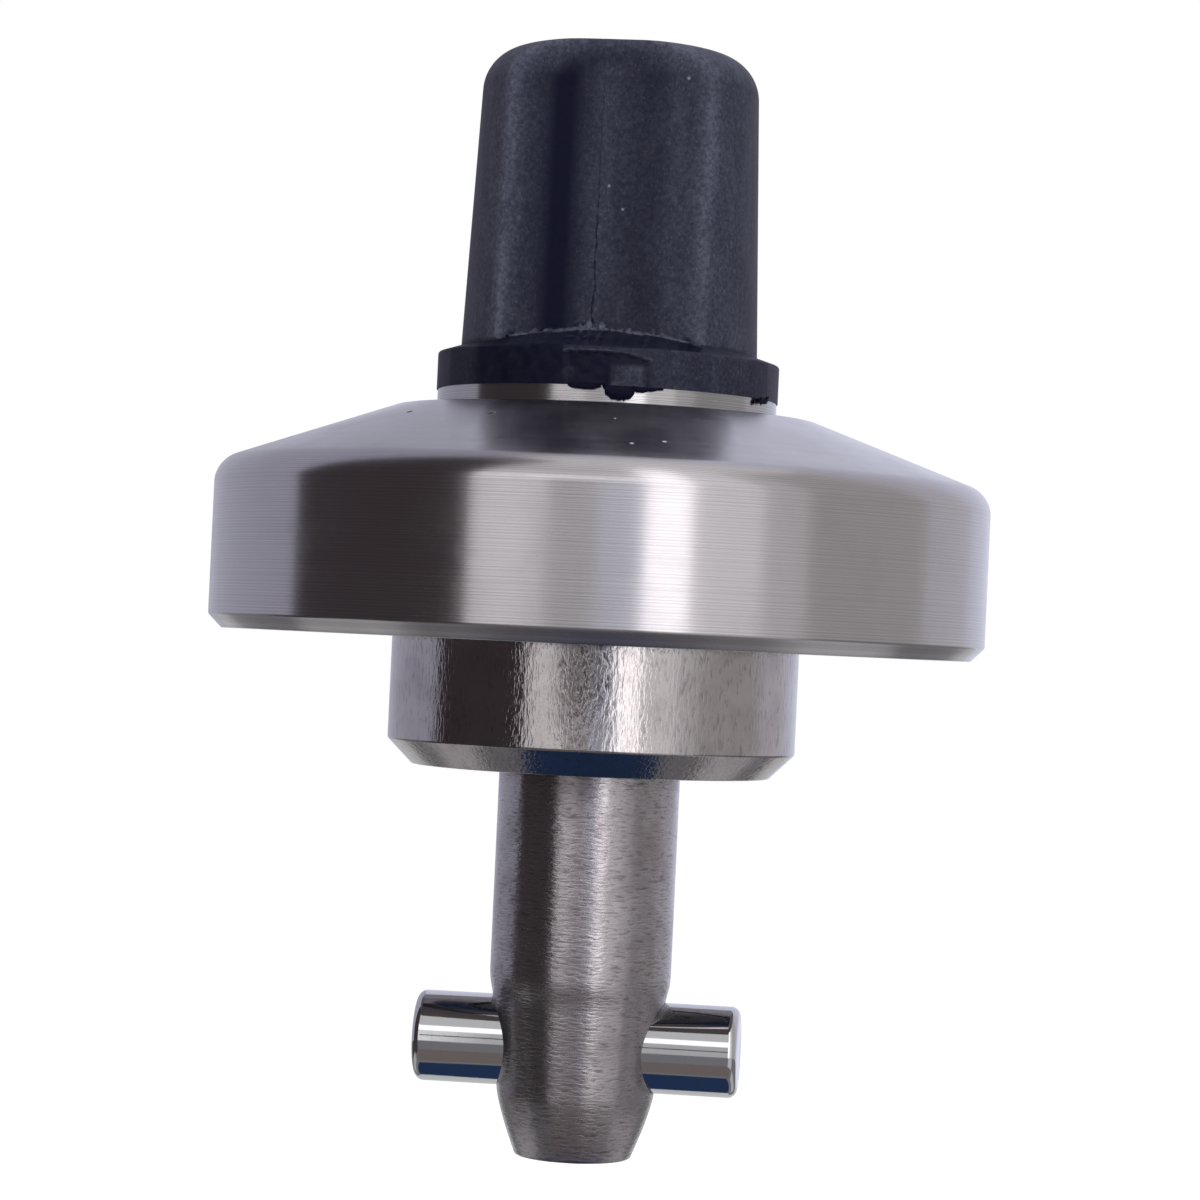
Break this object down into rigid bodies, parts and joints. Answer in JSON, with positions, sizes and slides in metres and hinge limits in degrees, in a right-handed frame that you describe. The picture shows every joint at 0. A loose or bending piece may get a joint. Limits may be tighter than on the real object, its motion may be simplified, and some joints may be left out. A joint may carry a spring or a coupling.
{
  "type": "quarter-turn clamp",
  "caption": "Spring-loaded quarter-turn clamp with a rubber grip, a conical-topped steel disc with a centring hub, and a shaft with a cross pin.",
  "frame": {"origin": "on the shaft's axis, in the plane of the disc's underside", "axes": "+Z along the shaft towards the grip, +X along the cross pin at rest"},
  "size_m": [0.0684, 0.0684, 0.0975],
  "materials": {
    "turned_steel": "fine turned",
    "polished_steel": "hand polished",
    "mirror_steel": "mirror polished",
    "ground_steel": "ground",
    "spring_steel": "dark oiled",
    "bronze": "machined",
    "grip_rubber": "matte moulded",
    "seal_rubber": "smooth"
  },
  "bodies": {
    "housing": {"clamp_disc": "turned_steel", "guide_bush": "bronze", "stop_pin": "ground_steel", "lower_spring_seat": "spring_steel", "shaft_oring": "seal_rubber", "circlip_washer": "spring_steel"},
    "slider": {"upper_spring_seat": "spring_steel", "thrust_washer": "bronze", "spring": "spring_steel"},
    "spindle": {"knob_core": "turned_steel", "grip": "grip_rubber", "core_lock_pin": "ground_steel", "shaft": "polished_steel", "cross_pin": "mirror_steel", "circlip": "spring_steel", "plunger_oring": "seal_rubber"}
  },
  "joints": [
    {"name": "press", "type": "slide", "parent": "housing", "child": "slider", "axis": [0, 0, -1], "range_m": [0, 0.0015], "stiffness_N_per_m": 9500, "springref_m": -0.0035, "deforming": ["spring"]},
    {"name": "quarter_turn", "type": "hinge", "parent": "slider", "child": "spindle", "pos_m": [0, 0, 0], "axis": [0, 0, -1], "range_deg": [0, 90]}
  ]
}
